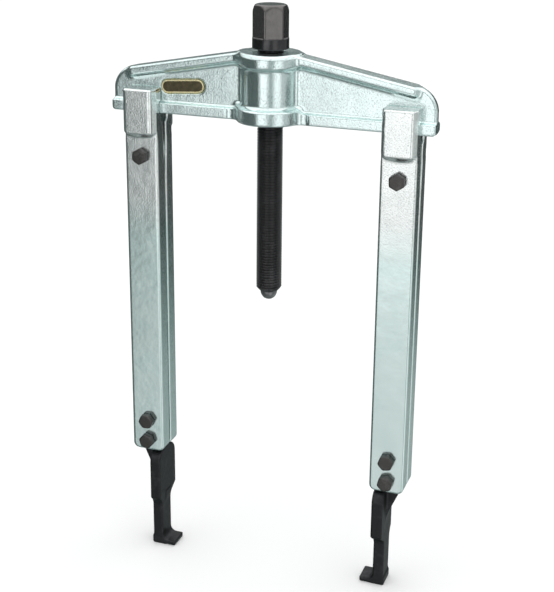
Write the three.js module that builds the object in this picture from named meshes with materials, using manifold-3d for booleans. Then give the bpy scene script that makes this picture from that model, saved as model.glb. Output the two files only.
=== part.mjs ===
// Two-arm gear puller with long slim legs.
// Millimetres, +Z up. The spindle's axis is X = Y = 0, and Z = 0 is the underside of the hooks.
import * as THREE from 'three';
import { mergeVertices } from 'three/addons/utils/BufferGeometryUtils.js';
import Module from 'manifold-3d';

const wasm = await Module();
wasm.setup();

// ---- driving dimensions ----
const GAP = 0.3; // least distance between touching pieces

// crossbeam
const BEAM_Z = 264; // underside of the lower flange
const BEAM_HALF = 90.4;
const LOWER_FLANGE_HALF_Y = 5.5;
const LOWER_FLANGE_THICK = 6;
const UPPER_FLANGE_HALF_Y = 6;
const UPPER_FLANGE_THICK = 4.6;
const UPPER_FLANGE_HALF_X = 79.8;
const WEB_HALF_Y = 2.6;
const RIDGE_HEIGHT = 39.1; // where the two sloping tops would meet, over the underside
const TOP_SLOPE = 0.187; // fall of the top for each millimetre out from the axis
const END_RADIUS = 10.5;
const LOWER_FLANGE_CORNER_R = 2;
const RELIEF_HALF_X = 23.8; // stretch beside the boss where the lower flange is a little thinner
const RELIEF_HALF_Y = 4.9;
const RELIEF_CORNER_R = 2.2; // of the soft end of that stretch, seen from above
const BOSS_TOP = 36.8;
const BOSS_R = 15;
const UPPER_COLLAR_R = 17.5;
const UPPER_COLLAR_DEEP = 7.4;
const UPPER_COLLAR_ROUND = 2.8; // of its upper edge
const LOWER_COLLAR_R = 18.2;
const LOWER_COLLAR_DEEP = 8;
const BORE_R = 7.3;

// name plate on the left web
const PLATE_LENGTH = 24.9;
const PLATE_HEIGHT = 7.4;
const PLATE_THICK = 0.7;
const PLATE_X = -49.2;
const PLATE_RISE = 15.2; // centre over the beam's underside
const PLATE_TILT = THREE.MathUtils.degToRad(4);
const PLATE_POCKET = 0.6;

// spindle, M14 x 1.5
const THREAD_R = 7;
const NECK_R = 6.1;
const HEAD_BOTTOM = 38.4; // over the beam's underside, as are the next three
const HEX_BOTTOM = 44.2;
const HEAD_TOP = 61.3;
const ROD_BOTTOM = -94.6;
const HEX_FLATS = 17;
const HEAD_STOCK_R = 9.7;
const TIP_REACH = 5; // how far the hardened tip stands out of the rod
const TIP_R = 4.6;
const TIP_SHANK_R = 3;
const TIP_SHANK_LENGTH = 8;

// legs: two half bars each
const LEFT_ARM_X = -71.1;
const RIGHT_ARM_X = 73.2;
const BAR_HALF_X = 9.7;
const BAR_OUTER_Y = 9.85;
const BAR_INNER_Y = 0.8; // half the gap between the two half bars, low down
const BAR_INNER_TOP_Y = 1.8; // and just under the head
const GAP_WIDE_Z = -16; // the gap is widest above this height
const GAP_NARROW_Z = -38; // and narrowest below this one
const BAR_BOTTOM = -201.3; // under the beam's underside, as are the other negative heights
const BAR_TOP = -11.5;
const BAR_CORNER_R = 3.5;
const BLOCK_FRONT_Y = 14.6;
const BLOCK_TOP = 14;
const BLOCK_BOTTOM = -11;
const BLOCK_FACE_HALF_X = 8;
const BLOCK_ROOT_HALF_X = 9.5;
const SLOT_GAP = 0.4; // sliding clearance round the lower flange
const LIP_INNER_Y = 3.5;
const THROAT_HALF_Y = 4; // hollow under the beam, between the two half bars
const THROAT_FLOOR = -3.6;
const THROAT_ROOT = -6.2;
const LAND_R = 7; // raised land round the top bolt, inside the leg

// hooks, measured inwards from the leg's centre line
const PLATE_OUTER_U = 1.1;
const PLATE_INNER_U = 7.6;
const HOOK_WIDE_HALF_Y = 11.1;
const SLIM_DEEP_Y = 4.4; // edge of the slim part below the deep step
const SLIM_SHALLOW_Y = -8.1; // and below the shallow one
const HOOK_TOP = -202.3;
const DEEP_STEP_TOP = -230.5;
const SHALLOW_STEP_TOP = -232.5;
const STEP_BOTTOM = -235.5;
const STEP_THINNING = 0.3; // how much thinner the plate is below the steps
const CLAW_TIP_U = 15;
const CLAW_THICK = 3;
const CLAW_ROOT_RISE = 3.4;
const TONGUE_HALF_Y = 3;
const TONGUE_OUTER_U = -7.2;
const TONGUE_TOP = -174.5;
const GUSSET_BOTTOM = -221.5;

// fasteners, M5
const BOLT_R = 2.5;
const BOLT_HOLE_R = BOLT_R + GAP;
const BOLT_FLATS = 8;
const BOLT_HEAD_THICK = 3.5;
const BOLT_REACH = 1.2; // how far the bolt stands out of its nut
const NUT_THICK = 4.7;
const TOP_BOLT_Z = -23.4;
const LOWER_BOLT_ZS = [-182, -194.7];
const BOLT_HEAD_TURNS = [0.48, 0.1, -0.2, 0.48, 0.86, 0.75]; // how far each head was left turned, radians

const ZINC = { color: 0xb9c9ca, roughness: 0.38, metalness: 0.85 };
const BLACK_OXIDE = { color: 0x1d1f20, roughness: 0.5, metalness: 0.6 };
const HARD_STEEL = { color: 0x9a9c9c, roughness: 0.35, metalness: 0.9 };
const PLATE_FINISH = { color: 0x3a3524, roughness: 0.35, metalness: 0.6 };

// ---- solids ----

// Turns a closed geometry into a solid whose faces point out.
function solid(geometry) {
  const bare = geometry.clone();
  bare.deleteAttribute('normal');
  bare.deleteAttribute('uv');
  const merged = mergeVertices(bare, 1e-4);
  const corners = merged.attributes.position.array;
  const faces = Uint32Array.from(merged.index.array);
  if (signedVolume(corners, faces) < 0) {
    faces.reverse();
  }
  const mesh = new wasm.Mesh({ numProp: 3, vertProperties: new Float32Array(corners), triVerts: faces });
  return new wasm.Manifold(mesh);
}

function signedVolume(corners, faces) {
  const at = (index) => new THREE.Vector3().fromArray(corners, 3 * index);
  let total = 0;
  for (let i = 0; i < faces.length; i += 3) {
    total += at(faces[i]).dot(at(faces[i + 1]).cross(at(faces[i + 2]))) / 6;
  }
  return total;
}

function toGeometry(body) {
  const { numProp, vertProperties, triVerts } = body.getMesh();
  const count = vertProperties.length / numProp;
  const places = new Float32Array(3 * count);
  for (let i = 0; i < count; i += 1) {
    places.set(vertProperties.subarray(i * numProp, i * numProp + 3), 3 * i);
  }
  const geometry = new THREE.BufferGeometry();
  geometry.setAttribute('position', new THREE.BufferAttribute(places, 3));
  geometry.setIndex(new THREE.BufferAttribute(new Uint32Array(triVerts), 1));
  const flat = geometry.toNonIndexed();
  flat.computeVertexNormals();
  return flat;
}

function box([x0, x1], [y0, y1], [z0, z1]) {
  const geometry = new THREE.BoxGeometry(x1 - x0, y1 - y0, z1 - z0);
  geometry.translate((x0 + x1) / 2, (y0 + y1) / 2, (z0 + z1) / 2);
  return solid(geometry);
}

// A closed outline whose corners are [u, v, radius]; a radius of 0 or none is a sharp corner.
function outline(corners) {
  const shape = new THREE.Shape();
  const count = corners.length;
  corners.forEach(([u, v, radius = 0], i) => {
    const here = new THREE.Vector2(u, v);
    if (radius === 0) {
      if (i === 0) shape.moveTo(u, v);
      else shape.lineTo(u, v);
      return;
    }
    const [ub, vb] = corners[(i + count - 1) % count];
    const [ua, va] = corners[(i + 1) % count];
    const back = new THREE.Vector2(ub, vb).sub(here).normalize();
    const ahead = new THREE.Vector2(ua, va).sub(here).normalize();
    const half = Math.acos(THREE.MathUtils.clamp(back.dot(ahead), -1, 1)) / 2;
    const reach = radius / Math.tan(half);
    const centre = back.clone().add(ahead).normalize().multiplyScalar(radius / Math.sin(half)).add(here);
    const start = back.clone().multiplyScalar(reach).add(here).sub(centre);
    const end = ahead.clone().multiplyScalar(reach).add(here).sub(centre);
    const clockwise = back.cross(ahead) > 0;
    shape.absarc(centre.x, centre.y, radius, start.angle(), end.angle(), clockwise);
  });
  return shape;
}

// Extrudes an outline along +Z from z0 to z1.
function prismZ(corners, [z0, z1], steps = 3) {
  const options = { depth: z1 - z0, bevelEnabled: false, curveSegments: steps };
  const geometry = new THREE.ExtrudeGeometry(outline(corners), options);
  geometry.translate(0, 0, z0);
  return solid(geometry);
}

// Extrudes an outline of (x, z) corners along Y from y0 to y1.
function prismY(corners, [y0, y1], steps = 3) {
  const options = { depth: y1 - y0, bevelEnabled: false, curveSegments: steps };
  const geometry = new THREE.ExtrudeGeometry(outline(corners), options);
  geometry.rotateX(Math.PI / 2);
  geometry.translate(0, y1, 0);
  return solid(geometry);
}

// Extrudes an outline of (y, z) corners along X from x0 to x1.
function prismX(corners, [x0, x1], steps = 3) {
  const options = { depth: x1 - x0, bevelEnabled: false, curveSegments: steps };
  const geometry = new THREE.ExtrudeGeometry(outline(corners), options);
  const turn = new THREE.Matrix4().makeBasis(
    new THREE.Vector3(0, 1, 0),
    new THREE.Vector3(0, 0, 1),
    new THREE.Vector3(1, 0, 0),
  );
  geometry.applyMatrix4(turn);
  geometry.translate(x0, 0, 0);
  return solid(geometry);
}

// Turns a profile of [radius, z] points about the Z axis.
function turned(profile, sides = 40) {
  const points = profile.map(([radius, z]) => new THREE.Vector2(radius, z));
  const geometry = new THREE.LatheGeometry(points, sides);
  geometry.rotateX(Math.PI / 2);
  return solid(geometry);
}

// A round bar along Y, for bolts and their holes.
function rodY(radius, x, z, [y0, y1], sides = 20) {
  const geometry = new THREE.CylinderGeometry(radius, radius, y1 - y0, sides);
  geometry.translate(x, (y0 + y1) / 2, z);
  return solid(geometry);
}

// The hexagon of a given size across flats, as outline corners about (u, v).
function hexagon(flats, turn, u = 0, v = 0) {
  const radius = flats / Math.sqrt(3);
  return Array.from({ length: 6 }, (_, i) => {
    const angle = turn + (i * Math.PI) / 3;
    return [u + radius * Math.cos(angle), v + radius * Math.sin(angle)];
  });
}

const mirrorY = (body) => body.mirror([0, 1, 0]);
const mirrorX = (body) => body.mirror([1, 0, 0]);
const topAt = (x) => RIDGE_HEIGHT - TOP_SLOPE * Math.abs(x);

// ---- crossbeam: heights are over the beam's underside ----

function boss() {
  const collarFoot = BOSS_TOP - UPPER_COLLAR_DEEP;
  const edge = 1.2;
  return turned([
    [0, 0],
    [LOWER_COLLAR_R - edge / 2, 0],
    [LOWER_COLLAR_R, edge / 2],
    [LOWER_COLLAR_R, LOWER_COLLAR_DEEP - edge],
    [LOWER_COLLAR_R - edge, LOWER_COLLAR_DEEP],
    [BOSS_R + edge, LOWER_COLLAR_DEEP + edge / 2],
    [BOSS_R, LOWER_COLLAR_DEEP + 2 * edge],
    [BOSS_R, collarFoot - 2 * edge],
    [BOSS_R + edge, collarFoot - edge / 2],
    [UPPER_COLLAR_R, collarFoot],
    [UPPER_COLLAR_R, BOSS_TOP - UPPER_COLLAR_ROUND],
    [UPPER_COLLAR_R - 0.3 * UPPER_COLLAR_ROUND, BOSS_TOP - 0.3 * UPPER_COLLAR_ROUND],
    [UPPER_COLLAR_R - UPPER_COLLAR_ROUND, BOSS_TOP],
    [0, BOSS_TOP],
  ], 48);
}

function platePocket(growth, [y0, y1]) {
  const halfLength = PLATE_LENGTH / 2 + growth;
  const halfHeight = PLATE_HEIGHT / 2 + growth;
  const pill = prismY([
    [-halfLength, -halfHeight, halfHeight * 0.98],
    [halfLength, -halfHeight, halfHeight * 0.98],
    [halfLength, halfHeight, halfHeight * 0.98],
    [-halfLength, halfHeight, halfHeight * 0.98],
  ], [y0, y1], 4);
  const tilt = -THREE.MathUtils.radToDeg(PLATE_TILT);
  return pill.rotate([0, tilt, 0]).translate([PLATE_X, 0, PLATE_RISE]);
}

function crossbeam() {
  const lowerFlange = prismY([
    [-BEAM_HALF, 0, LOWER_FLANGE_CORNER_R],
    [BEAM_HALF, 0, LOWER_FLANGE_CORNER_R],
    [BEAM_HALF, LOWER_FLANGE_THICK, LOWER_FLANGE_CORNER_R / 2],
    [-BEAM_HALF, LOWER_FLANGE_THICK, LOWER_FLANGE_CORNER_R / 2],
  ], [-LOWER_FLANGE_HALF_Y, LOWER_FLANGE_HALF_Y]);
  const relief = prismZ([
    [-RELIEF_HALF_X, -RELIEF_HALF_Y, RELIEF_CORNER_R],
    [-RELIEF_HALF_X, -LOWER_COLLAR_R],
    [RELIEF_HALF_X, -LOWER_COLLAR_R],
    [RELIEF_HALF_X, -RELIEF_HALF_Y, RELIEF_CORNER_R],
  ], [-1, LOWER_FLANGE_THICK + 1], 4);
  const flange = lowerFlange.subtract(relief).subtract(mirrorY(relief));
  const shoulder = (RIDGE_HEIGHT - BOSS_TOP) / TOP_SLOPE;
  const webEnd = BEAM_HALF - 0.1;
  const web = prismY([
    [-webEnd, 1],
    [webEnd, 1],
    [webEnd, topAt(webEnd), END_RADIUS],
    [shoulder, BOSS_TOP - 0.2],
    [-shoulder, BOSS_TOP - 0.2],
    [-webEnd, topAt(webEnd), END_RADIUS],
  ], [-WEB_HALF_Y, WEB_HALF_Y], 5);
  const end = UPPER_FLANGE_HALF_X;
  const upperFlange = prismY([
    [-end, topAt(end) - UPPER_FLANGE_THICK, 2],
    [-shoulder, BOSS_TOP - UPPER_FLANGE_THICK],
    [shoulder, BOSS_TOP - UPPER_FLANGE_THICK],
    [end, topAt(end) - UPPER_FLANGE_THICK, 2],
    [end, topAt(end), 1],
    [shoulder, BOSS_TOP],
    [-shoulder, BOSS_TOP],
    [-end, topAt(end), 1],
  ], [-UPPER_FLANGE_HALF_Y, UPPER_FLANGE_HALF_Y]);
  const bore = turned([[0, -1], [BORE_R, -1], [BORE_R, BOSS_TOP + 1], [0, BOSS_TOP + 1]], 40);
  const pocket = platePocket(GAP, [-WEB_HALF_Y - 1, -WEB_HALF_Y + PLATE_POCKET]);
  return flange.add(web).add(upperFlange).add(boss()).subtract(bore).subtract(pocket);
}

function namePlate() {
  const back = -WEB_HALF_Y + PLATE_POCKET - GAP;
  return platePocket(0, [back - PLATE_THICK, back]);
}

// ---- spindle ----

function spindle() {
  const edge = 1;
  const stock = turned([
    [0, ROD_BOTTOM],
    [THREAD_R - 1.6, ROD_BOTTOM],
    [THREAD_R, ROD_BOTTOM + 2],
    [THREAD_R, BOSS_TOP],
    [NECK_R, BOSS_TOP + 0.6],
    [NECK_R, HEAD_BOTTOM],
    [HEAD_STOCK_R - edge / 2, HEAD_BOTTOM],
    [HEAD_STOCK_R, HEAD_BOTTOM + edge / 2],
    [HEAD_STOCK_R, HEAD_TOP - edge],
    [HEAD_STOCK_R - 1.6 * edge, HEAD_TOP],
    [0, HEAD_TOP],
  ]);
  const hex = prismZ(hexagon(HEX_FLATS, Math.PI / 2), [HEX_BOTTOM, HEAD_TOP + 1]);
  const below = box([-20, 20], [-20, 20], [ROD_BOTTOM - 1, HEX_BOTTOM]);
  const seat = TIP_SHANK_R + GAP;
  const depth = TIP_SHANK_LENGTH + GAP;
  const hole = turned([
    [0, ROD_BOTTOM - 1],
    [seat, ROD_BOTTOM - 1],
    [seat, ROD_BOTTOM + depth],
    [0, ROD_BOTTOM + depth],
  ], 24);
  return stock.intersect(hex.add(below)).subtract(hole);
}

function spindleTip() {
  const top = ROD_BOTTOM - GAP;
  return turned([
    [0, top - TIP_REACH],
    [1.8, top - TIP_REACH],
    [3.2, top - TIP_REACH + 1],
    [TIP_R - 0.4, top - 2.2],
    [TIP_R, top - 1],
    [TIP_R, top],
    [TIP_SHANK_R, top],
    [TIP_SHANK_R, ROD_BOTTOM + TIP_SHANK_LENGTH],
    [0, ROD_BOTTOM + TIP_SHANK_LENGTH],
  ], 24);
}

// ---- one half leg, in front of the beam, with its centre line at X = 0 and inwards as +X ----

function frontBar() {
  const edge = 1.1;
  const section = prismZ([
    [-BAR_HALF_X, -BAR_OUTER_Y, edge],
    [BAR_HALF_X, -BAR_OUTER_Y, edge],
    [BAR_HALF_X, -BAR_INNER_Y, edge / 2],
    [-BAR_HALF_X, -BAR_INNER_Y, edge / 2],
  ], [BAR_BOTTOM, BAR_TOP], 2);
  const face = prismY([
    [-BAR_HALF_X, BAR_BOTTOM, BAR_CORNER_R],
    [BAR_HALF_X, BAR_BOTTOM, BAR_CORNER_R],
    [BAR_HALF_X, BAR_TOP, 2],
    [-BAR_HALF_X, BAR_TOP, 2],
  ], [-BAR_OUTER_Y - 1, 1], 3);
  const headFoot = BAR_TOP - 6;
  const headPlan = prismZ([
    [-BLOCK_FACE_HALF_X, -BLOCK_FRONT_Y, edge],
    [BLOCK_FACE_HALF_X, -BLOCK_FRONT_Y, edge],
    [BLOCK_ROOT_HALF_X, -BAR_OUTER_Y],
    [BLOCK_ROOT_HALF_X, -BAR_INNER_Y],
    [-BLOCK_ROOT_HALF_X, -BAR_INNER_Y],
    [-BLOCK_ROOT_HALF_X, -BAR_OUTER_Y],
  ], [headFoot - 1, BLOCK_TOP + 1], 2);
  const slotWall = LOWER_FLANGE_HALF_Y + SLOT_GAP;
  const headSide = prismX([
    [-BLOCK_FRONT_Y, BLOCK_BOTTOM, edge],
    [-BLOCK_FRONT_Y, BLOCK_TOP, edge],
    [-LIP_INNER_Y, BLOCK_TOP, edge],
    [-LIP_INNER_Y, LOWER_FLANGE_THICK + SLOT_GAP],
    [-slotWall, LOWER_FLANGE_THICK + SLOT_GAP],
    [-slotWall, -SLOT_GAP],
    [-THROAT_HALF_Y, -SLOT_GAP],
    [-THROAT_HALF_Y, THROAT_FLOOR],
    [-BAR_INNER_TOP_Y, THROAT_ROOT],
    [-BAR_INNER_TOP_Y, headFoot],
    [-BAR_OUTER_Y, headFoot],
    [-BAR_OUTER_Y, BLOCK_BOTTOM - 3 * edge],
    [-BAR_OUTER_Y - edge, BLOCK_BOTTOM - edge],
  ].reverse(), [-BAR_HALF_X, BAR_HALF_X], 2);
  const taper = prismX([
    [1, GAP_NARROW_Z],
    [-BAR_INNER_Y, GAP_NARROW_Z],
    [-BAR_INNER_TOP_Y, GAP_WIDE_Z],
    [-BAR_INNER_TOP_Y, BLOCK_TOP],
    [1, BLOCK_TOP],
  ].reverse(), [-BAR_HALF_X - 1, BAR_HALF_X + 1]);
  const land = rodY(LAND_R, 0, TOP_BOLT_Z, [-BAR_INNER_TOP_Y - 1, -GAP], 28);
  const pocket = box(
    [TONGUE_OUTER_U - GAP, PLATE_INNER_U + GAP],
    [-TONGUE_HALF_Y - GAP, 0],
    [BAR_BOTTOM - 1, TONGUE_TOP + GAP],
  );
  const shaft = section.intersect(face).subtract(taper);
  let body = shaft.add(headPlan.intersect(headSide)).add(land).subtract(pocket);
  [TOP_BOLT_Z, ...LOWER_BOLT_ZS].forEach((z) => {
    body = body.subtract(rodY(BOLT_HOLE_R, 0, z, [-BLOCK_FRONT_Y - 1, 1]));
  });
  return body;
}

// ---- one hook, inwards as +X from the leg's centre line ----

function hook() {
  const bottom = -BEAM_Z;
  const plateFace = prismX([
    [SLIM_SHALLOW_Y, bottom],
    [SLIM_DEEP_Y, bottom],
    [SLIM_DEEP_Y, STEP_BOTTOM, 3],
    [HOOK_WIDE_HALF_Y, DEEP_STEP_TOP, 0.6],
    [HOOK_WIDE_HALF_Y, HOOK_TOP, 7],
    [-HOOK_WIDE_HALF_Y, HOOK_TOP, 7],
    [-HOOK_WIDE_HALF_Y, SHALLOW_STEP_TOP, 0.6],
    [SLIM_SHALLOW_Y, STEP_BOTTOM, 1.5],
  ], [TONGUE_OUTER_U - 1, CLAW_TIP_U + 1], 3);
  const clawTop = bottom + CLAW_THICK;
  const slimInner = PLATE_INNER_U - STEP_THINNING;
  const plateSide = prismY([
    [PLATE_OUTER_U, bottom, 0.8],
    [CLAW_TIP_U, bottom, 0.5],
    [CLAW_TIP_U, clawTop, 0.5],
    [slimInner + CLAW_ROOT_RISE, clawTop],
    [slimInner, clawTop + CLAW_ROOT_RISE, 2],
    [slimInner, STEP_BOTTOM],
    [PLATE_INNER_U, DEEP_STEP_TOP],
    [PLATE_INNER_U, HOOK_TOP, 1],
    [PLATE_OUTER_U, HOOK_TOP],
  ], [-HOOK_WIDE_HALF_Y, HOOK_WIDE_HALF_Y]);
  const tongue = prismY([
    [TONGUE_OUTER_U, TONGUE_TOP, 3],
    [TONGUE_OUTER_U, HOOK_TOP + 1],
    [PLATE_OUTER_U + 0.5, GUSSET_BOTTOM],
    [PLATE_INNER_U - 1, GUSSET_BOTTOM],
    [PLATE_INNER_U - 0.2, HOOK_TOP],
    [PLATE_INNER_U - 0.2, TONGUE_TOP, 3],
  ].reverse(), [-TONGUE_HALF_Y, TONGUE_HALF_Y]);
  let body = plateSide.intersect(plateFace).add(tongue);
  LOWER_BOLT_ZS.forEach((z) => {
    body = body.subtract(rodY(BOLT_HOLE_R, 0, z, [-TONGUE_HALF_Y - 1, TONGUE_HALF_Y + 1]));
  });
  return body;
}

// ---- fasteners, through the leg from front to back ----

function bolt(z, turn) {
  const seat = -BAR_OUTER_Y - GAP;
  const head = prismY(hexagon(BOLT_FLATS, turn, 0, z), [seat - BOLT_HEAD_THICK, seat]);
  const dome = rodY(0.56 * BOLT_FLATS, 0, z, [seat - BOLT_HEAD_THICK - 1, seat + 1], 30);
  const end = BAR_OUTER_Y + GAP + NUT_THICK + BOLT_REACH;
  return head.intersect(dome).add(rodY(BOLT_R, 0, z, [seat - 1, end]));
}

function nut(z, turn) {
  const seat = BAR_OUTER_Y + GAP;
  const body = prismY(hexagon(BOLT_FLATS, turn, 0, z), [seat, seat + NUT_THICK]);
  return body.subtract(rodY(BOLT_HOLE_R, 0, z, [seat - 1, seat + NUT_THICK + 1]));
}

// ---- assembly ----

const puller = new THREE.Group();

function place(name, body, finish) {
  const mesh = new THREE.Mesh(toGeometry(body), new THREE.MeshStandardMaterial(finish));
  mesh.name = name;
  mesh.position.z = BEAM_Z;
  puller.add(mesh);
}

place('crossbeam', crossbeam(), ZINC);
place('name_plate', namePlate(), PLATE_FINISH);
place('spindle', spindle(), BLACK_OXIDE);
place('spindle_tip', spindleTip(), HARD_STEEL);

const BOLT_PLACES = [
  ['top', TOP_BOLT_Z],
  ['middle', LOWER_BOLT_ZS[0]],
  ['bottom', LOWER_BOLT_ZS[1]],
];

[['left', LEFT_ARM_X], ['right', RIGHT_ARM_X]].forEach(([side, armX], armIndex) => {
  // The pieces are drawn with inwards as +X, so those of the right leg are mirrored.
  const set = (body) => (side === 'left' ? body : mirrorX(body)).translate([armX, 0, 0]);
  // Both hooks are the same part, so the right one is turned round instead.
  const facing = side === 'left' ? 0 : 180;
  place(`${side}_front_bar`, set(frontBar()), ZINC);
  place(`${side}_back_bar`, set(mirrorY(frontBar())), ZINC);
  place(`${side}_hook`, hook().rotate([0, 0, facing]).translate([armX, 0, 0]), BLACK_OXIDE);
  BOLT_PLACES.forEach(([level, z], i) => {
    const turn = BOLT_HEAD_TURNS[3 * armIndex + i];
    place(`${side}_${level}_bolt`, set(bolt(z, turn)), BLACK_OXIDE);
    place(`${side}_${level}_nut`, set(nut(z, turn)), BLACK_OXIDE);
  });
});

export default puller;
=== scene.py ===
import math

import bmesh
import bpy
import numpy as np
from mathutils import Matrix, Vector


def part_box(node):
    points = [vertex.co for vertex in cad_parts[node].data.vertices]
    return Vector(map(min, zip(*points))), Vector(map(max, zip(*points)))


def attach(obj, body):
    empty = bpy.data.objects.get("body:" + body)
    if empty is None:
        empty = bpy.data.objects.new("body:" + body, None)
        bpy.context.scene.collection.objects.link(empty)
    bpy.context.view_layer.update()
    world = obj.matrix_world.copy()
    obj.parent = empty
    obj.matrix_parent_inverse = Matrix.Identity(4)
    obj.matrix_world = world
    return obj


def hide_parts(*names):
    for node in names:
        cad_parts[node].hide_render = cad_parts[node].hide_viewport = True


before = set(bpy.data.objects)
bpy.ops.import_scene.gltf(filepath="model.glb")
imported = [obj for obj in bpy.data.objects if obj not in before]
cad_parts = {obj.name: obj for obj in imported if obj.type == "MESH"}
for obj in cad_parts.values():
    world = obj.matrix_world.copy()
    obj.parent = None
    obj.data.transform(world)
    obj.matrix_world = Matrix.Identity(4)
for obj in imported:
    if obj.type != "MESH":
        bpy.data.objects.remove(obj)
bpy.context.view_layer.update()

MM = 0.001
FIT = 0.3                 # gap between two pieces that fit into each other, in millimetres

# ---------------------------------------------------------------- sizes, in millimetres
# Lengths that the frame gives are read from it. Heights are over the beam's underside.


def low(node):
    return [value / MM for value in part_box(node)[0]]


def high(node):
    return [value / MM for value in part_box(node)[1]]


def middle(node):
    return [(a + b) / 2 for a, b in zip(low(node), high(node))]


BEAM_Z = low("crossbeam")[2]
BEAM_HALF = high("crossbeam")[0]
BOSS_TOP = high("crossbeam")[2] - BEAM_Z
LOWER_COLLAR_R = high("crossbeam")[1]
ARM_X = {side: middle(f"{side}_front_bar")[0] for side in ("left", "right")}
BAR_HALF_X = (high("left_front_bar")[0] - low("left_front_bar")[0]) / 2
BAR_BOTTOM = low("left_front_bar")[2] - BEAM_Z
BLOCK_TOP = high("left_front_bar")[2] - BEAM_Z
BLOCK_FRONT = -low("left_front_bar")[1]
HEAD_TOP = high("spindle")[2] - BEAM_Z
ROD_BOTTOM = low("spindle")[2] - BEAM_Z
TIP_BOTTOM = low("spindle_tip")[2] - BEAM_Z
STOCK_R = (high("spindle")[0] - low("spindle")[0]) / 2
HOOK_HALF_Y = high("left_hook")[1]
CLAW_TIP = high("left_hook")[0] - ARM_X["left"]
TIP_R = high("spindle_tip")[0]
NUT_SEAT = low("left_top_nut")[1]

# crossbeam
RIDGE = 39.1              # height at which the two sloping tops would meet
SLOPE = 0.187             # fall of the top for each millimetre out
END_RADIUS = 10.5
WEB_HALF = 2.6
LOWER_FLANGE = 6          # thickness
LOWER_FLANGE_HALF = 5.5   # half of its depth, from front to back
UPPER_FLANGE = 4.6        # thickness
UPPER_FLANGE_HALF = 6     # half of its depth
UPPER_FLANGE_END = 79.8
UPPER_FILLET = 3.4        # between the web and the upper flange
LOWER_FILLET = 1.6        # between the web and the lower flange
RELIEF_END = 23.8         # stretch beside the boss where the lower flange is a little thinner
RELIEF_HALF = 4.9
RELIEF_CORNER = 2.2       # of the soft end of that stretch, seen from above
BOSS_R = 15
UPPER_COLLAR_R = 17.5
UPPER_COLLAR_DEEP = 7.4
UPPER_COLLAR_ROUND = 2.8  # of its upper edge
LOWER_COLLAR_DEEP = 8
BOSS_FILLET = 2.2         # of the boss against the web and the upper collar
FOOT_FILLET = 2.6         # around the lower collar
BORE_R = 7.3
PLATE_POCKET = 0.6        # depth of the name plate's hollow in the web
PLATE_TILT = math.radians(4)

# legs
BAR_FRONT = 9.85
BAR_BACK = 0.8            # half of the gap between the two half bars, low down
BAR_BACK_TOP = 1.8        # and at the top
GAP_NARROW = -38          # height below which the gap is at its narrowest
GAP_WIDE = -16            # and above which it is at its widest
BAR_TOP = -11.5
BLOCK_BOTTOM = -11.0
BLOCK_FACE_HALF = 8.0
BLOCK_ROOT_HALF = 9.5
SLOT_GAP = 0.4
LIP_BACK = 3.5
DRAFT_DEEP = 4.75         # how far back the block's sides keep widening
LAND_R = 7                # raised ring round the top bolt, on the inner face
BOLT_HOLE_R = 2.8
THROAT_HALF = 4.0         # hollow under the beam, between the half bars
THROAT_FLOOR = -3.6
THROAT_ROOT = -6.2
TOP_BOLT = -23.4
LOWER_BOLTS = (-182.0, -194.7)

# hooks, measured inwards from the leg's centre line
PLATE_OUT = 1.1
PLATE_IN = 7.6
HOOK_TOP = -202.3
SLIM_DEEP = 4.4           # edge of the slim part below the deep step
SLIM_SHALLOW = 8.1        # and below the shallow one, on the other side
SHOULDER_R = 7.0          # of the hook's upper corners
STEP_THINNING = 0.3       # how much thinner the blade gets across the step
CLAW_FILLET = 3.6
DEEP_STEP_TOP = -230.5
SHALLOW_STEP_TOP = -232.5
STEP_BOTTOM = -235.5
CLAW_THICK = 3.0
TONGUE_HALF = 3.0
TONGUE_OUT = -7.2
TONGUE_TOP = -174.5
GUSSET_BOTTOM = -221.5

# spindle and bolts
THREAD_R = 7.0
THREAD_PITCH = 1.5
HEAD_BOTTOM = 38.4
HEX_BOTTOM = 44.2
HEX_FLATS = 17.0
ROD_CHAMFER = 1.7
NECK_R = 6.1
CROWN_SLOPE = 0.6         # of the chamfer on top of the spindle's head
CROWN_DEEP = 2.4
SHANK_R = 3.0             # of the tip, inside the rod
SHANK_LENGTH = 8.0
BOLT_FLATS = 8.0
BOLT_R = 2.5
BOLT_HEAD_THICK = 3.5
BOLT_PITCH = 0.8
BOLT_CHAMFER = 0.65
WASHER_FACE = 0.35        # thickness of the round face under a bolt's head
HEX_CROWN_SLOPE = 0.9     # of the chamfers on bolt heads and nuts
PLATE_LENGTH = 24.9
PLATE_HEIGHT = 7.4
RIM_WIDE = 0.95           # of the pale rim round the name plate
BOLT_TURNS = {"left_top": 0.48, "left_middle": 0.1, "left_bottom": -0.2,
              "right_top": 0.48, "right_middle": 0.86, "right_bottom": 0.75}

# ---------------------------------------------------------------- distance fields
# A shape is a function of three arrays that is negative inside it.


def join(a, b, r=0.0):
    """Both shapes, with a fillet of radius r where they meet."""
    corner = np.hypot(np.maximum(r - a, 0), np.maximum(r - b, 0))
    return np.maximum(r, np.minimum(a, b)) - corner


def meet(a, b, r=0.0):
    """What is inside both, with the shared edge rounded to radius r."""
    if r == 0:
        return np.maximum(a, b)
    corner = np.hypot(np.maximum(r + a, 0), np.maximum(r + b, 0))
    return np.minimum(-r, np.maximum(a, b)) + corner


def cut(a, b, r=0.0):
    """The first shape without the second, with the new edge rounded."""
    return meet(a, -b, r)


def line(u, v, start, end):
    """Signed distance from the line through two points: positive on the left of it."""
    du, dv = end[0] - start[0], end[1] - start[1]
    return ((v - start[1]) * du - (u - start[0]) * dv) / math.hypot(du, dv)


def between(value, lower, upper):
    return meet(value - upper, lower - value)


def axis_steps(*stretches):
    """Grid lines from (start, end, step) stretches that follow on from each other."""
    lines = [stretches[0][0]]
    for start, end, step in stretches:
        count = max(1, round((end - start) / step))
        lines.extend(np.linspace(start, end, count + 1)[1:])
    return np.array(lines)


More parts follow.
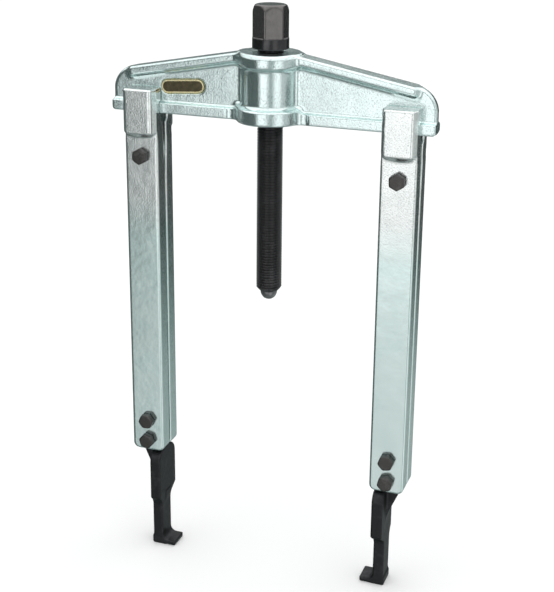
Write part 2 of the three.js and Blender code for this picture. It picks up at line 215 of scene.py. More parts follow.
def skin(field, axes):
    """Vertices and quads of the surface where a sampled field crosses zero."""
    cells = tuple(len(a) - 1 for a in axes)
    total = cells[0] * cells[1] * cells[2]
    sums = np.zeros((3, total))
    counts = np.zeros(total)
    crossings = []
    for axis in range(3):
        first = [slice(None)] * 3
        second = [slice(None)] * 3
        first[axis], second[axis] = slice(0, -1), slice(1, None)
        here, there = field[tuple(first)], field[tuple(second)]
        crossed = (here < 0) != (there < 0)
        index = np.argwhere(crossed)
        share = here[crossed] / (here[crossed] - there[crossed])
        place = np.stack([axes[k][index[:, k]] for k in range(3)])
        span = axes[axis][index[:, axis] + 1] - axes[axis][index[:, axis]]
        place[axis] += share * span
        u, v = (axis + 1) % 3, (axis + 2) % 3
        corners = []
        for du, dv in ((-1, -1), (0, -1), (0, 0), (-1, 0)):
            cell = index.copy()
            cell[:, u] += du
            cell[:, v] += dv
            flat = np.ravel_multi_index(cell.T, cells)
            counts += np.bincount(flat, minlength=total)
            for k in range(3):
                sums[k] += np.bincount(flat, weights=place[k], minlength=total)
            corners.append(flat)
        quads = np.stack(corners, axis=1)
        outward = here[crossed] < 0
        quads[~outward] = quads[~outward][:, ::-1]
        crossings.append(quads)
    used = counts > 0
    number = np.cumsum(used) - 1
    points = (sums[:, used] / counts[used]).T
    return points, number[np.concatenate(crossings)]


def grid(axes):
    return np.meshgrid(*axes, indexing="ij")


def mesh_object(name, points, faces):
    """A new object from points in millimetres."""
    mesh = bpy.data.meshes.new(name)
    mesh.from_pydata((np.asarray(points) * MM).tolist(), [], [list(map(int, f)) for f in faces])
    mesh.validate()
    mesh.polygons.foreach_set("use_smooth", [True] * len(mesh.polygons))
    mesh.update()
    piece = bpy.data.objects.new(name, mesh)
    bpy.context.scene.collection.objects.link(piece)
    return piece


# ---------------------------------------------------------------- crossbeam


def pill(x, z, half_length, half_height, centre, tilt):
    """Distance from a pill outline that is tilted in the plane of the web."""
    u = (x - centre[0]) * math.cos(tilt) + (z - centre[1]) * math.sin(tilt)
    v = (z - centre[1]) * math.cos(tilt) - (x - centre[0]) * math.sin(tilt)
    reach = half_length - half_height
    return np.hypot(np.maximum(np.abs(u) - reach, 0), v) - half_height


def crossbeam_field(x, y, z):
    out, deep, radius = np.abs(x), np.abs(y), np.hypot(x, y)
    under_top = np.maximum((z - RIDGE + SLOPE * out) / math.hypot(1, SLOPE), z - BOSS_TOP + 0.1)

    web = meet(meet(under_top, out - BEAM_HALF + 0.1, END_RADIUS), 1 - z)
    web = meet(web, deep - WEB_HALF, 1.6)

    upper = meet(under_top, -under_top - UPPER_FLANGE, 1.6)
    upper = meet(upper, out - UPPER_FLANGE_END, 2.0)
    upper = meet(upper, deep - UPPER_FLANGE_HALF, 1.3)

    lower = meet(meet(out - BEAM_HALF, -z, 2.0), z - LOWER_FLANGE, 0.9)
    lower = meet(lower, deep - LOWER_FLANGE_HALF, 0.8)
    relief = meet(RELIEF_HALF - deep, out - RELIEF_END, RELIEF_CORNER)
    lower = np.maximum(lower, -relief)
    body = join(join(web, upper, UPPER_FILLET), lower, LOWER_FILLET)

    barrel = meet(radius - BOSS_R, between(z, 0.5, BOSS_TOP - 0.5))
    top = meet(radius - UPPER_COLLAR_R, z - BOSS_TOP, UPPER_COLLAR_ROUND)
    top = meet(top, BOSS_TOP - UPPER_COLLAR_DEEP - z, 1.6)
    foot = meet(radius - LOWER_COLLAR_R, between(z, 0, LOWER_COLLAR_DEEP), 1.3)
    body = join(body, join(barrel, top, BOSS_FILLET), BOSS_FILLET)
    body = join(body, foot, FOOT_FILLET)
    allowed = np.minimum(under_top, meet(radius - UPPER_COLLAR_R, z - BOSS_TOP))
    body = np.maximum(body, np.maximum(allowed, -z))
    body = np.maximum(body, out - BEAM_HALF)

    body = cut(body, radius - BORE_R, 0.8)
    plate = middle("name_plate")
    centre = (plate[0], plate[2] - BEAM_Z)
    hollow = pill(x, z, PLATE_LENGTH / 2 + FIT, PLATE_HEIGHT / 2 + FIT, centre, PLATE_TILT)
    pocket = meet(hollow, y + WEB_HALF - PLATE_POCKET)
    return cut(body, pocket, 0.25)


def crossbeam():
    step = 0.5
    axes = (
        axis_steps((-BEAM_HALF - 1, BEAM_HALF + 1, step)),
        axis_steps((-LOWER_COLLAR_R - 1, LOWER_COLLAR_R + 1, step)),
        axis_steps((-1.13, BOSS_TOP + 1, step)),
    )
    points, faces = skin(crossbeam_field(*grid(axes)), axes)
    points[:, 2] += BEAM_Z
    return mesh_object("crossbeam_forging", points, faces)


# ---------------------------------------------------------------- legs


def half_bar_field(x, a, z):
    """One half leg about its centre line. a is the distance from the beam's middle plane."""
    wide = np.abs(x)
    lean = (BAR_BACK_TOP - BAR_BACK) * np.clip((z - GAP_NARROW) / (GAP_WIDE - GAP_NARROW), 0, 1)
    throat = np.interp(z, (THROAT_ROOT, THROAT_FLOOR), (0, THROAT_HALF - BAR_BACK_TOP))
    inner = BAR_BACK + lean + throat - a

    bar = meet(wide - BAR_HALF_X, BAR_BOTTOM - z, 3.5)
    bar = meet(bar, z - BAR_TOP, 2.6)
    bar = meet(bar, a - BAR_FRONT, 1.0)
    bar = meet(bar, inner, 0.7)

    draft = (BLOCK_ROOT_HALF - BLOCK_FACE_HALF) / (BLOCK_FRONT - BAR_FRONT)
    side = (wide - BLOCK_FACE_HALF - draft * np.clip(BLOCK_FRONT - a, 0, DRAFT_DEEP))
    side = side / math.hypot(1, draft)
    block = meet(meet(side, BLOCK_BOTTOM - z, 2.2), z - BLOCK_TOP, 1.3)
    block = meet(block, a - BLOCK_FRONT, 1.3)
    core = meet(meet(side, a - BAR_FRONT), between(z, BAR_TOP - 6, BLOCK_TOP), 1.1)
    thumb = 1.2 + 2.2 * np.clip(1 - (x / BLOCK_ROOT_HALF) ** 2, 0, 1)
    body = np.minimum(join(bar, block, thumb), core)
    body = meet(body, np.where(z < BLOCK_TOP - 9, inner, -9.0))

    wall = LOWER_FLANGE_HALF + SLOT_GAP
    slot = meet(a - wall, between(z, -SLOT_GAP, LOWER_FLANGE + SLOT_GAP), 0.6)
    over = meet(a - LIP_BACK, LOWER_FLANGE - z)
    body = cut(body, np.minimum(slot, over), 0.5)

    land = meet(np.hypot(x, z - TOP_BOLT) - LAND_R, between(a, FIT, 4), 0.3)
    body = join(body, land, 0.4)
    pocket = meet(between(x, TONGUE_OUT - FIT, PLATE_IN + FIT), a - TONGUE_HALF - FIT)
    body = cut(body, meet(pocket, z - TONGUE_TOP - FIT), 0.4)
    for height in (TOP_BOLT, *LOWER_BOLTS):
        body = cut(body, np.hypot(x, z - height) - BOLT_HOLE_R, 0.4)
    return body


def half_bar(side, face):
    """face is -1 for the front half and 1 for the back half."""
    inward = 1 if side == "left" else -1
    fine, coarse = 0.5, 3.0
    lands = (TOP_BOLT - 9, BAR_TOP - 3)
    axes = (
        axis_steps((-BAR_HALF_X - 0.9, BAR_HALF_X + 0.9, fine)),
        axis_steps((-0.6, BLOCK_FRONT + 0.9, fine)),
        axis_steps(
            (BAR_BOTTOM - 0.9, TONGUE_TOP + 3, fine),
            (TONGUE_TOP + 3, lands[0], coarse),
            (lands[0], BLOCK_TOP + 0.9, fine),
        ),
    )
    points, faces = skin(half_bar_field(*grid(axes)), axes)
    points[:, 0] = inward * points[:, 0] + ARM_X[side]
    points[:, 1] *= face
    points[:, 2] += BEAM_Z
    if inward * face < 0:
        faces = faces[:, ::-1]
    place = "front" if face < 0 else "back"
    return mesh_object(f"{side}_{place}_half_leg", points, faces)


# ---------------------------------------------------------------- hooks


def hook_field(u, v, z):
    """One hook: u is inwards from the leg's centre line, and v towards the side with the deep step."""
    wide = np.abs(v)
    bottom = -BEAM_Z

    deep = line(v, z, (SLIM_DEEP, STEP_BOTTOM), (HOOK_HALF_Y, DEEP_STEP_TOP))
    shallow = line(-v, z, (SLIM_SHALLOW, STEP_BOTTOM), (HOOK_HALF_Y, SHALLOW_STEP_TOP))
    upper = meet(wide - HOOK_HALF_Y, z - HOOK_TOP, SHOULDER_R)
    upper = meet(meet(upper, -deep, 0.6), -shallow, 0.6)
    lower = meet(meet(v - SLIM_DEEP, -v - SLIM_SHALLOW), meet(bottom - z, z - DEEP_STEP_TOP))
    outline = join(upper, lower, 1.6)

    step = np.clip((DEEP_STEP_TOP - z) / (DEEP_STEP_TOP - STEP_BOTTOM), 0, 1)
    inner = u - PLATE_IN + STEP_THINNING * step
    plate = meet(inner, PLATE_OUT - u, 0.9)
    plate = meet(plate, bottom - z, 1.0)
    claw = meet(u - CLAW_TIP, between(z, bottom, bottom + CLAW_THICK), 0.6)
    claw = meet(claw, PLATE_OUT + 1 - u)
    side = join(plate, claw, CLAW_FILLET)
    blade = meet(side, outline, 0.9)

    slant = line(u, z, (TONGUE_OUT, HOOK_TOP + 1), (PLATE_OUT + 0.5, GUSSET_BOTTOM))
    tongue = meet(between(u, TONGUE_OUT, PLATE_IN - 0.2), z - TONGUE_TOP, 3.0)
    tongue = meet(tongue, -slant, 1.0)
    tongue = meet(tongue, wide - TONGUE_HALF, 0.5)
    body = join(blade, tongue, 1.8)
    body = np.maximum(body, np.where(z > DEEP_STEP_TOP, inner, bottom - z))
    for height in LOWER_BOLTS:
        body = cut(body, np.hypot(u, z - height) - BOLT_HOLE_R, 0.3)
    return body


def hook(side):
    """Both hooks are the same part, turned to face each other."""
    inward = 1 if side == "left" else -1
    step = 0.4
    axes = (
        axis_steps((TONGUE_OUT - 1, CLAW_TIP + 1, step)),
        axis_steps((-HOOK_HALF_Y - 1, HOOK_HALF_Y + 1, step)),
        axis_steps((-BEAM_Z - 1.1, TONGUE_TOP + 1, step)),
    )
    points, faces = skin(hook_field(*grid(axes)), axes)
    points[:, :2] *= inward
    points += np.array([ARM_X[side], 0, BEAM_Z])
    return mesh_object(f"{side}_claw", points, faces)


# ---------------------------------------------------------------- threads and turned shapes


def welded(name, points, faces):
    """A mesh object whose coinciding points are merged."""
    piece = mesh_object(name, points, faces)
    edit = bmesh.new()
    edit.from_mesh(piece.data)
    bmesh.ops.remove_doubles(edit, verts=edit.verts, dist=1e-6)
    edit.to_mesh(piece.data)
    edit.free()
    piece.data.polygons.foreach_set("use_smooth", [True] * len(piece.data.polygons))
    return piece


def grid_faces(rows, columns):
    faces = []
    for row in range(rows - 1):
        for column in range(columns - 1):
            corner = row * columns + column
            faces.append((corner, corner + 1, corner + columns + 1, corner + columns))
    return faces


def thread(outer, pitch, bottom, top, limit, sides=48, cuts=10):
    """A right-hand thread up the Z axis between two heights.

    Its rows climb with the helix, so the crest and root are clean lines.
    limit(z) is the largest radius allowed at a height, for the chamfers and the runout.
    """
    depth = 0.58 * pitch
    turns = math.ceil((top - bottom) / pitch) + 1
    row = np.arange(turns * cuts + 1)[:, None] / cuts
    angle = np.arange(sides + 1)[None, :] / sides
    z = np.clip(bottom + pitch * (row - 1 + angle), bottom, top)
    off_crest = np.abs((row + 0 * angle) % 1 - 0.5)
    radius = outer - depth * np.clip((off_crest - 1 / 16) * 16 / 5, 0, 1)
    radius = np.minimum(radius, limit(z))
    theta = 2 * math.pi * angle + 0 * row
    points = np.stack([radius * np.cos(theta), radius * np.sin(theta), z], axis=-1)
    return points.reshape(-1, 3), grid_faces(len(row), sides + 1)


def lathe(profile, sides=64):
    """A closed body turned about the Z axis from (radius, height) points, the first and last on the axis."""
    rings = np.array(profile, float)
    theta = 2 * math.pi * np.arange(sides + 1) / sides
    x = rings[:, :1] * np.cos(theta)[None, :]
    y = rings[:, :1] * np.sin(theta)[None, :]
    z = rings[:, 1:] + 0 * x
    points = np.stack([x, y, z], axis=-1).reshape(-1, 3)
    return points, grid_faces(len(rings), sides + 1)


def rounded(corners, radius, steps=4):
    """The same profile with each of its inner corners rounded by up to a radius."""
    out = [corners[0]]
    for before, here, after in zip(corners, corners[1:], corners[2:]):
        here, back, ahead = np.array(here), np.array(before) - here, np.array(after) - here
        reach = min(radius, np.hypot(*back) / 2.05, np.hypot(*ahead) / 2.05)
        start = here + back / np.hypot(*back) * reach
        end = here + ahead / np.hypot(*ahead) * reach
        for share in np.linspace(0, 1, steps + 1):
            curve = (1 - share) ** 2 * start + 2 * share * (1 - share) * here + share**2 * end
            out.append(tuple(curve))
    out.append(corners[-1])
    return out


def stacked(*parts):
    """Several (points, faces) parts as one."""
    points, faces, count = [], [], 0
    for more_points, more_faces in parts:
        points.append(more_points)
        faces.extend(tuple(corner + count for corner in face) for face in more_faces)
        count += len(more_points)
    return np.concatenate(points), faces


# ---------------------------------------------------------------- spindle


def hex_distance(x, y, flats, turn, r=0.0):
    """Distance outside a hexagon whose corners start at an angle, rounded to radius r."""
    distance = -1e9 + 0 * x
    for side in range(6):
        facing = turn + math.radians(30 + 60 * side)
        distance = meet(distance, x * math.cos(facing) + y * math.sin(facing) - flats / 2, r)
    return distance


def head_field(x, y, z):
    radius = np.hypot(x, y)
    collar = meet(radius - STOCK_R, between(z, HEAD_BOTTOM, HEX_BOTTOM), 0.35)
    hexagon = hex_distance(x, y, HEX_FLATS, math.pi / 2, 0.5)
    hexagon = meet(hexagon, between(z, HEX_BOTTOM - 1, HEAD_TOP), 0.2)
    hexagon = meet(hexagon, radius - STOCK_R + 0.05, 0.2)
    crown = (radius - STOCK_R + CROWN_SLOPE * (z - HEAD_TOP + CROWN_DEEP)) / math.hypot(1, CROWN_SLOPE)
    hexagon = meet(hexagon, crown, 1.0)
    neck = meet(radius - NECK_R, between(z, BOSS_TOP - 6, HEAD_BOTTOM + 1))
    return join(join(collar, hexagon, 0.15), neck, 0.4)


def spindle():
    step = 0.3
    reach = STOCK_R + 0.8
    base = HEAD_BOTTOM - 2.2
    axes = (
        axis_steps((-reach, reach, step)),
        axis_steps((-reach, reach, step)),
        axis_steps((base - 0.83, HEAD_TOP + 0.8, step)),
    )
    head_points, head_faces = skin(np.maximum(head_field(*grid(axes)), base - grid(axes)[2]), axes)

    top = BOSS_TOP + 2.2
    seat = SHANK_R + FIT

    def limit(z):
        chamfer = THREAD_R - ROD_CHAMFER + 0.9 * (z - ROD_BOTTOM)
        runout = THREAD_R - 0.5 * (z - BOSS_TOP - 0.4)
        return np.minimum(chamfer, np.maximum(runout, NECK_R - 0.1))

    shaft = thread(THREAD_R, THREAD_PITCH, ROD_BOTTOM, top, limit)
    foot = lathe([
        (seat, ROD_BOTTOM + SHANK_LENGTH + FIT),
        (seat, ROD_BOTTOM),
        (THREAD_R - ROD_CHAMFER, ROD_BOTTOM),
    ], 48)
    ceiling = lathe([(0, ROD_BOTTOM + SHANK_LENGTH + FIT), (seat, ROD_BOTTOM + SHANK_LENGTH + FIT)], 48)
    cap = lathe([(NECK_R - 0.1, top), (0, top)], 48)
    points, faces = stacked((head_points, head_faces), shaft, foot, ceiling, cap)
    points[:, 2] += BEAM_Z
    return welded("threaded_spindle", points, faces)


def spindle_tip():
    top = ROD_BOTTOM - FIT
    profile = [
        (0, TIP_BOTTOM), (1.8, TIP_BOTTOM), (3.2, TIP_BOTTOM + 0.9), (TIP_R - 0.3, TIP_BOTTOM + 2.7),
        (TIP_R, top - 1), (TIP_R, top), (SHANK_R, top),
        (SHANK_R, ROD_BOTTOM + SHANK_LENGTH), (0, ROD_BOTTOM + SHANK_LENGTH),
    ]
    points, faces = lathe(rounded(profile, 0.6), 48)
    points[:, 2] += BEAM_Z
    return welded("pressure_point", points, faces)


# ---------------------------------------------------------------- bolts and nuts


def along_y(points, x, z, toward=-1):
    """Points drawn up the Z axis, laid along Y about (x, z)."""
    turned = np.stack([points[:, 0] * -toward, points[:, 2] * toward, points[:, 1]], axis=1)
    return turned + np.array([x, 0, z])


def hex_head_field(x, y, z, turn, thick, washer):
    """A chamfered hexagon from z = 0 to its thickness, with an optional washer face below."""
    radius = np.hypot(x, y)
    body = meet(hex_distance(x, y, BOLT_FLATS, turn), between(z, washer, thick), 0.2)
    crown = (radius - BOLT_FLATS / 2 - 0.1 + HEX_CROWN_SLOPE * (z - thick)) / math.hypot(1, HEX_CROWN_SLOPE)
    body = meet(body, crown, 0.35)
    if washer:
        return join(body, meet(radius - BOLT_FLATS / 2 + 0.25, between(z, 0, washer + 0.3), 0.1), 0)
    other = (radius - BOLT_FLATS / 2 - 0.1 - HEX_CROWN_SLOPE * z) / math.hypot(1, HEX_CROWN_SLOPE)
    return meet(body, other, 0.35)


def hex_skin(turn, thick, washer, hole):
    step = 0.3
    reach = BOLT_FLATS / math.sqrt(3) + 0.7
    axes = (
        axis_steps((-reach, reach, step)),
        axis_steps((-reach, reach, step)),
        axis_steps((-0.71, thick + 0.7, step)),
    )
    x, y, z = grid(axes)
    body = hex_head_field(x, y, z, turn, thick, washer)
    if hole:
        body = cut(body, np.hypot(x, y) - hole, 0.25)
    return skin(body, axes)


def bolt(side, level):
    inward = 1 if side == "left" else -1
    node = f"{side}_{level}_bolt"
    x, _, z = middle(node)
    seat = -low(node)[1] - BOLT_HEAD_THICK
    head = hex_skin(BOLT_TURNS[f"{side}_{level}"] * inward, BOLT_HEAD_THICK, WASHER_FACE, 0)
    head = (along_y(head[0] + np.array([0, 0, seat]), x, z), head[1])
    end = high(node)[1]
    start = NUT_SEAT - 1.5

    def limit(y):
        return np.minimum(BOLT_R, BOLT_R - BOLT_CHAMFER + 1.0 * (end - y))

    screw = thread(BOLT_R, BOLT_PITCH, start, end, limit, sides=28, cuts=8)
    shank_end = start + 0.2
    shank = lathe([(0, -seat - 0.5), (BOLT_R, -seat - 0.5), (BOLT_R, shank_end), (0, shank_end)], 28)
    tail = lathe([(0, start), (BOLT_R - BOLT_CHAMFER, start)], 28)
    nose = lathe([(BOLT_R - BOLT_CHAMFER, end), (0, end)], 28)
    rod, rod_faces = stacked(screw, shank, tail, nose)
    rod = along_y(rod, x, z, toward=1)
    points, faces = stacked(head, (rod, rod_faces))
    return welded(f"{side}_{level}_hex_bolt", points, faces)


def nut(side, level):
    inward = 1 if side == "left" else -1
    node = f"{side}_{level}_nut"
    x, _, z = middle(node)
    thick = high(node)[1] - low(node)[1]
    turn = math.pi - BOLT_TURNS[f"{side}_{level}"] * inward
    points, faces = hex_skin(turn, thick, 0, BOLT_R + FIT)
    points = along_y(points + np.array([0, 0, low(node)[1]]), x, z, toward=1)
    return mesh_object(f"{side}_{level}_hex_nut", points, faces)


# ---------------------------------------------------------------- name plate


def plate_points(x, z, face, depth):
    """Points in the plate's own plane, laid on the web at its tilt. depth is measured out of the web."""
    cx, _, cz = middle("name_plate")
    u = x * math.cos(PLATE_TILT) - z * math.sin(PLATE_TILT)
    v = x * math.sin(PLATE_TILT) + z * math.cos(PLATE_TILT)
    return np.stack([cx + u, face - depth + 0 * u, cz + v], axis=-1)


def pill_ring(half_length, half_height, arc=14):
    """Points round a pill outline, counterclockwise seen from the front."""
    reach = half_length - half_height
    ring = []
    for centre, start in ((reach, -90), (-reach, 90)):
        for step in range(arc + 1):
            angle = math.radians(start + 180 * step / arc)
            ring.append((centre + half_height * math.cos(angle), half_height * math.sin(angle)))
    return np.array(ring)


def plate_rings(rings, face):
    """A body whose skin follows (inset, depth) rings from its back to its front and inwards."""
    half_length = PLATE_LENGTH / 2
    half_height = PLATE_HEIGHT / 2
    loops = []
    for inset, depth in rings:
        ring = pill_ring(half_length - inset, half_height - inset)
        ring = np.vstack([ring, ring[:1]])
        loops.append(plate_points(ring[:, 0], ring[:, 1], face, depth))
    points = np.concatenate(loops)
    return points, grid_faces(len(rings), len(loops[0]))


def name_plate():
    back = high("name_plate")[1]
    rim_rings = [
        (RIM_WIDE, 0), (0, 0), (0, 0.5), (0.15, 0.66),
        (0.5, 0.7), (0.8, 0.64), (RIM_WIDE, 0.45), (RIM_WIDE, 0),
    ]
    rim = welded("plate_rim", *plate_rings(rim_rings, back))
    centre = PLATE_HEIGHT / 2
    inner_rings = [(centre, 0.02), (RIM_WIDE, 0.02), (RIM_WIDE, 0.42), (1.1, 0.45), (centre, 0.47)]
    panel = welded("plate_panel", *plate_rings(inner_rings, back))
    return rim, panel


# ---------------------------------------------------------------- materials


class Finish:
    """One procedural material, built a node at a time. Lengths are in millimetres on the object."""

    def __init__(self, name, metallic, roughness):
        self.material = bpy.data.materials.new(name)
        self.material.use_nodes = True
        self.nodes = self.material.node_tree.nodes
        self.links = self.material.node_tree.links
        self.shader = self.nodes["Principled BSDF"]
        self.shader.inputs["Metallic"].default_value = metallic
        self.shader.inputs["Roughness"].default_value = roughness
        self.place = self.nodes.new("ShaderNodeTexCoord").outputs["Object"]

    def put(self, socket, value):
        if isinstance(value, bpy.types.NodeSocket):
            self.links.new(value, socket)
        elif value is not None:
            socket.default_value = value

    def stretched(self, stretch):
        node = self.nodes.new("ShaderNodeMapping")
        node.inputs["Scale"].default_value = stretch
        self.put(node.inputs["Vector"], self.place)
        return node.outputs["Vector"]

    def noise(self, size, detail=2.0, rough=0.5, stretch=None):
        node = self.nodes.new("ShaderNodeTexNoise")
        node.inputs["Scale"].default_value = 1 / (size * MM)
        node.inputs["Detail"].default_value = detail
        node.inputs["Roughness"].default_value = rough
        self.put(node.inputs["Vector"], self.stretched(stretch) if stretch else self.place)
        return node.outputs["Fac"]

    def spread(self, value, low_in, high_in, low_out=0.0, high_out=1.0):
        """Maps one span of a value to another, held at its ends."""
        node = self.nodes.new("ShaderNodeMapRange")
        node.inputs["From Min"].default_value = low_in
        node.inputs["From Max"].default_value = high_in
        node.inputs["To Min"].default_value = low_out
        node.inputs["To Max"].default_value = high_out
        self.put(node.inputs["Value"], value)
        return node.outputs["Result"]

    def maths(self, operation, first, second=None):
        node = self.nodes.new("ShaderNodeMath")
        node.operation = operation
        self.put(node.inputs[0], first)
        self.put(node.inputs[1], second)
        return node.outputs["Value"]

    def mix(self, share, first, second):
        node = self.nodes.new("ShaderNodeMix")
        node.data_type = "RGBA"
        self.put(node.inputs["Factor"], share)
        colours = [socket for socket in node.inputs if socket.type == "RGBA"]
        for socket, value in zip(colours, (first, second)):
            self.put(socket, (*value, 1) if isinstance(value, tuple) else value)
        return next(socket for socket in node.outputs if socket.type == "RGBA")

    def bump(self, height, depth, onto=None):
        """Raises the surface by depth millimetres times the height value."""
        node = self.nodes.new("ShaderNodeBump")
        node.inputs["Distance"].default_value = depth * MM
        self.put(node.inputs["Height"], height)
        self.put(node.inputs["Normal"], onto)
        return node.outputs["Normal"]

    def place_axis(self, axis):
        node = self.nodes.new("ShaderNodeSeparateXYZ")
        self.put(node.inputs["Vector"], self.place)
        return node.outputs[axis]

    def set(self, **sockets):
        names = {"colour": "Base Color", "roughness": "Roughness", "normal": "Normal"}
        for name, value in sockets.items():
            self.put(self.shader.inputs[names[name]], value)


def zinc_finish(name, bright, deep, smooth_below=None):
    """Zinc-plated forged steel: pale blue-grey, with a sparkling fine grain and a soft hammered swell.

    Below the height smooth_below, in millimetres, the grain fades and the plating turns to DRAWN_TINT,
    as on the drawn shaft of a leg.
    """
    finish = Finish(name, 0.96, 0.2)
    clouds = finish.spread(finish.noise(14, 3, 0.55), 0.35, 0.65)
    mass = finish.mix(clouds, deep, bright)
    share = 1.0
    if smooth_below is not None:
        height = finish.maths("DIVIDE", finish.place_axis("Z"), MM)
        share = finish.spread(height, smooth_below - 20, smooth_below + 4, 0.07, 1.0)
        mass = finish.mix(share, finish.mix(clouds, DRAWN_DEEP, DRAWN_TINT), mass)
    grain = finish.noise(0.75, 2.5, 0.6)
    flecks = finish.spread(finish.noise(0.7, 1.5, 0.5), 0.52, 0.74)
    patches = finish.spread(finish.noise(22, 2.0, 0.6), 0.42, 0.62)
    colour = finish.mix(finish.maths("MULTIPLY", flecks, finish.maths("MULTIPLY", share, 0.4)), mass, FLECK)
    roughness = finish.maths(
        "ADD", finish.spread(grain, 0.3, 0.7, 0.12, 0.2), finish.maths("MULTIPLY", patches, 0.05)
    )
    swell = finish.bump(finish.noise(6.5, 2.0, 0.5), 0.09)
    skin_bump = finish.bump(finish.maths("MULTIPLY", grain, share), 0.07, swell)
    finish.set(colour=colour, roughness=roughness, normal=skin_bump)
    return finish.material


def black_finish(name, base, sheen_rough, grain_size=0.8, worn=None):
    """Blackened steel with a faint brushed grain and lighter rubbed patches.

    worn is (height in millimetres, colour) of the part that spanners have rubbed, above the height.
    """
    finish = Finish(name, 0.85, sheen_rough)
    rubbed = finish.spread(finish.noise(7, 3, 0.6), 0.52, 0.72)
    brushed = finish.noise(grain_size, 2.0, 0.5, (3.0, 3.0, 0.35))
    lighter = tuple(min(1.0, 2.1 * part + 0.012) for part in base)
    colour = finish.mix(finish.maths("MULTIPLY", rubbed, 0.5), base, lighter)
    if worn:
        height = finish.maths("DIVIDE", finish.place_axis("Z"), MM)
        mottled = finish.spread(finish.noise(2.4, 3, 0.6), 0.3, 0.7, 0.75, 1.0)
        above = finish.maths("MULTIPLY", finish.spread(height, worn[0] - 0.2, worn[0] + 0.2), mottled)
        colour = finish.mix(above, colour, worn[1])
    roughness = finish.spread(brushed, 0.3, 0.7, sheen_rough - 0.07, sheen_rough + 0.09)
    bump = finish.bump(finish.noise(0.5, 2.0, 0.6), 0.02, finish.bump(brushed, 0.02))
    finish.set(colour=colour, roughness=roughness, normal=bump)
    return finish.material


def plate_finish(name, base, other, metallic, rough):
    finish = Finish(name, metallic, rough)
    wear = finish.spread(finish.noise(2.6, 3, 0.6), 0.4, 0.7)
    colour = finish.mix(wear, base, other)
    finish.set(
        colour=colour,
        roughness=finish.spread(finish.noise(1.2, 2), 0.3, 0.7, rough - 0.08, rough + 0.1),
        normal=finish.bump(finish.noise(0.6, 2), 0.012),
    )
    return finish.material


FLECK = (0.2, 0.24, 0.24)
DRAWN_TINT = (0.72, 0.86, 0.84)
DRAWN_DEEP = (0.67, 0.82, 0.8)
ZINC_BEAM = zinc_finish("zinc_beam", (0.77, 0.89, 0.88), (0.7, 0.82, 0.81))
ZINC_LEG = zinc_finish("zinc_leg", (0.84, 0.88, 0.87), (0.76, 0.8, 0.79), BEAM_Z - 50)
BLACK = black_finish("black_oxide", (0.03, 0.031, 0.033), 0.42)
HEAD_WEAR = (BEAM_Z + HEX_BOTTOM, (0.17, 0.162, 0.158))
SPINDLE_BLACK = black_finish("spindle_black", (0.055, 0.055, 0.057), 0.17, 0.5, HEAD_WEAR)
BOLT_BLACK = black_finish("bolt_black", (0.075, 0.072, 0.07), 0.3, 0.5)
POINT_STEEL = black_finish("hardened_steel", (0.2, 0.2, 0.205), 0.32, 0.4)
PANEL = plate_finish("plate_panel", (0.05, 0.04, 0.015), (0.085, 0.07, 0.03), 0.3, 0.35)
RIM = plate_finish("plate_rim", (0.72, 0.62, 0.33), (0.85, 0.78, 0.52), 0.8, 0.25)


# ---------------------------------------------------------------- assembly


def install(piece, body, node, finish):
    piece.data.materials.clear()
    piece.data.materials.append(finish)
    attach(piece, body)
    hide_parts(node)


install(crossbeam(), "crossbeam", "crossbeam", ZINC_BEAM)
plate_rim, plate_panel = name_plate()
install(plate_rim, "crossbeam", "name_plate", RIM)
install(plate_panel, "crossbeam", "name_plate", PANEL)
install(spindle(), "spindle", "spindle", SPINDLE_BLACK)
install(spindle_tip(), "tip", "spindle_tip", POINT_STEEL)
for side in ("left", "right"):
    arm = f"{side}_arm"
    install(half_bar(side, -1), arm, f"{side}_front_bar", ZINC_LEG)
    install(half_bar(side, 1), arm, f"{side}_back_bar", ZINC_LEG)
    install(hook(side), arm, f"{side}_hook", BLACK)
    for level in ("top", "middle", "bottom"):
        install(bolt(side, level), arm, f"{side}_{level}_bolt", BOLT_BLACK)
        install(nut(side, level), arm, f"{side}_{level}_nut", BOLT_BLACK)


# ---------------------------------------------------------------- floor, light and camera

FLOOR_SIZE = 24.0
CAMERA_PLACE = (0.2237, -0.6089, 0.4049)
CAMERA_AZIMUTH = 19.67
CAMERA_ELEVATION = 17.70
CAMERA_ROLL = 0.59
FOCAL_SHARE = 1248.16 / 592          # focal length over the picture's longer side
SHIFT = (-0.0044, -0.0949)


def floor():
    half = FLOOR_SIZE / 2
    corners = [(-half, -half, 0), (half, -half, 0), (half, half, 0), (-half, half, 0)]
    mesh = bpy.data.meshes.new("studio_floor")
    mesh.from_pydata(corners, [], [(0, 1, 2, 3)])
    piece = bpy.data.objects.new("studio_floor", mesh)
    bpy.context.scene.collection.objects.link(piece)
    finish = Finish("studio_floor", 0.0, 0.7)
    finish.set(colour=finish.mix(finish.noise(220, 2), (0.88, 0.885, 0.885), (0.9, 0.9, 0.9)))
    mesh.materials.append(finish.material)
    piece.visible_glossy = False         # the metal mirrors the studio's screens, also below the horizon


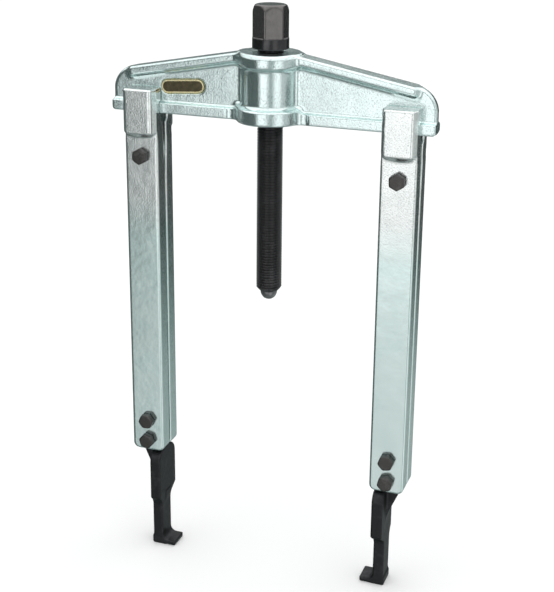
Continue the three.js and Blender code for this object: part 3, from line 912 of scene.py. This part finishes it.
class Studio:
    """The room's light by direction, for the world shader. Angles are in degrees.

    A bearing of 0 is straight in front of the object and grows towards +X, and a height of 0 is level.
    """

    def __init__(self):
        self.world = bpy.data.worlds.new("studio")
        self.world.use_nodes = True
        self.nodes = self.world.node_tree.nodes
        self.links = self.world.node_tree.links
        split = self.nodes.new("ShaderNodeSeparateXYZ")
        self.links.new(self.nodes.new("ShaderNodeTexCoord").outputs["Generated"], split.inputs[0])
        x, y, z = split.outputs
        self.bearing = self.maths("DEGREES", self.maths("ARCTAN2", x, self.maths("MULTIPLY", y, -1.0)))
        self.height = self.maths("DEGREES", self.maths("ARCSINE", z))
        self.light = None

    def maths(self, operation, first, second=None):
        node = self.nodes.new("ShaderNodeMath")
        node.operation = operation
        for socket, value in zip(node.inputs, (first, second)):
            if isinstance(value, bpy.types.NodeSocket):
                self.links.new(value, socket)
            elif value is not None:
                socket.default_value = value
        return node.outputs["Value"]

    def rise(self, value, start, end):
        """0 before start and 1 after end, smoothly."""
        node = self.nodes.new("ShaderNodeMapRange")
        node.interpolation_type = "SMOOTHSTEP"
        self.links.new(value, node.inputs["Value"])
        node.inputs["From Min"].default_value = start
        node.inputs["From Max"].default_value = end
        return node.outputs["Result"]

    def window(self, value, low_edge, high_edge, soft):
        """1 between two edges and 0 outside them."""
        up = self.rise(value, low_edge - soft / 2, low_edge + soft / 2)
        down = self.rise(value, high_edge + soft / 2, high_edge - soft / 2)
        return self.maths("MULTIPLY", up, down)

    def add(self, share, strength):
        part = self.maths("MULTIPLY", share, strength)
        self.light = part if self.light is None else self.maths("ADD", self.light, part)

    def screen(self, bearings, heights, strength, soft=8, soft_height=16):
        across = self.window(self.bearing, *bearings, soft)
        up = self.window(self.height, *heights, soft_height)
        self.add(self.maths("MULTIPLY", across, up), strength)

    def finish(self, base, dim_tint):
        """Adds an even base light. Dim directions take on the tint, and bright ones are white."""
        background = self.nodes["Background"]
        strength = self.maths("ADD", self.light, base)
        tint = self.nodes.new("ShaderNodeMix")
        tint.data_type = "RGBA"
        self.links.new(self.rise(strength, 0.05, 0.8), tint.inputs["Factor"])
        first, second = (socket for socket in tint.inputs if socket.type == "RGBA")
        first.default_value = (*dim_tint, 1)
        second.default_value = (1.0, 1.0, 1.0, 1)
        colour = next(socket for socket in tint.outputs if socket.type == "RGBA")
        self.links.new(colour, background.inputs["Color"])
        self.links.new(strength, background.inputs["Strength"])
        bpy.context.scene.world = self.world


def sky():
    studio = Studio()
    studio.screen((-29.5, 9), (-44, -18), 0.72, soft=12, soft_height=10)
    studio.screen((-23.5, 9), (-18, 12), 1.35, soft=12, soft_height=10)
    studio.screen((9, 32), (-50, 14), 0.4)
    studio.screen((33, 62), (-55, 14), 1.15)
    studio.screen((62, 138), (-50, 16), 0.55, soft=14)
    studio.screen((140, 174), (-60, -21), 0.36, soft_height=10)
    studio.screen((-135, -32), (-50, 10), 0.06)
    studio.screen((172, 190), (-50, 10), 0.18)
    studio.screen((-190, -138), (-50, 10), 0.18)
    studio.add(studio.rise(studio.height, 11, 27), 1.15)
    studio.add(studio.rise(studio.height, -40, -62), 0.3)
    studio.add(studio.rise(studio.height, 40, 65), 0.35)
    studio.finish(0.04, (0.78, 1.0, 0.96))


def camera():
    azimuth, elevation, roll = (math.radians(a) for a in (CAMERA_AZIMUTH, CAMERA_ELEVATION, CAMERA_ROLL))
    right = Vector((math.cos(azimuth), math.sin(azimuth), 0))
    ahead = Vector((
        -math.sin(azimuth) * math.cos(elevation),
        math.cos(azimuth) * math.cos(elevation),
        -math.sin(elevation),
    ))
    up = right.cross(ahead)
    turned_right = math.cos(roll) * right + math.sin(roll) * up
    turned_up = math.cos(roll) * up - math.sin(roll) * right
    lens = bpy.data.cameras.new("camera")
    lens.sensor_fit = "AUTO"
    lens.sensor_width = 36
    lens.lens = FOCAL_SHARE * lens.sensor_width
    lens.shift_x, lens.shift_y = SHIFT
    lens.clip_start, lens.clip_end = 0.01, 50
    eye = bpy.data.objects.new("camera", lens)
    turn = Matrix((turned_right, turned_up, -ahead)).transposed()
    eye.matrix_world = Matrix.Translation(CAMERA_PLACE) @ turn.to_4x4()
    bpy.context.scene.collection.objects.link(eye)
    bpy.context.scene.camera = eye


floor()
sky()
camera()
bpy.context.scene.view_settings.view_transform = "Standard"
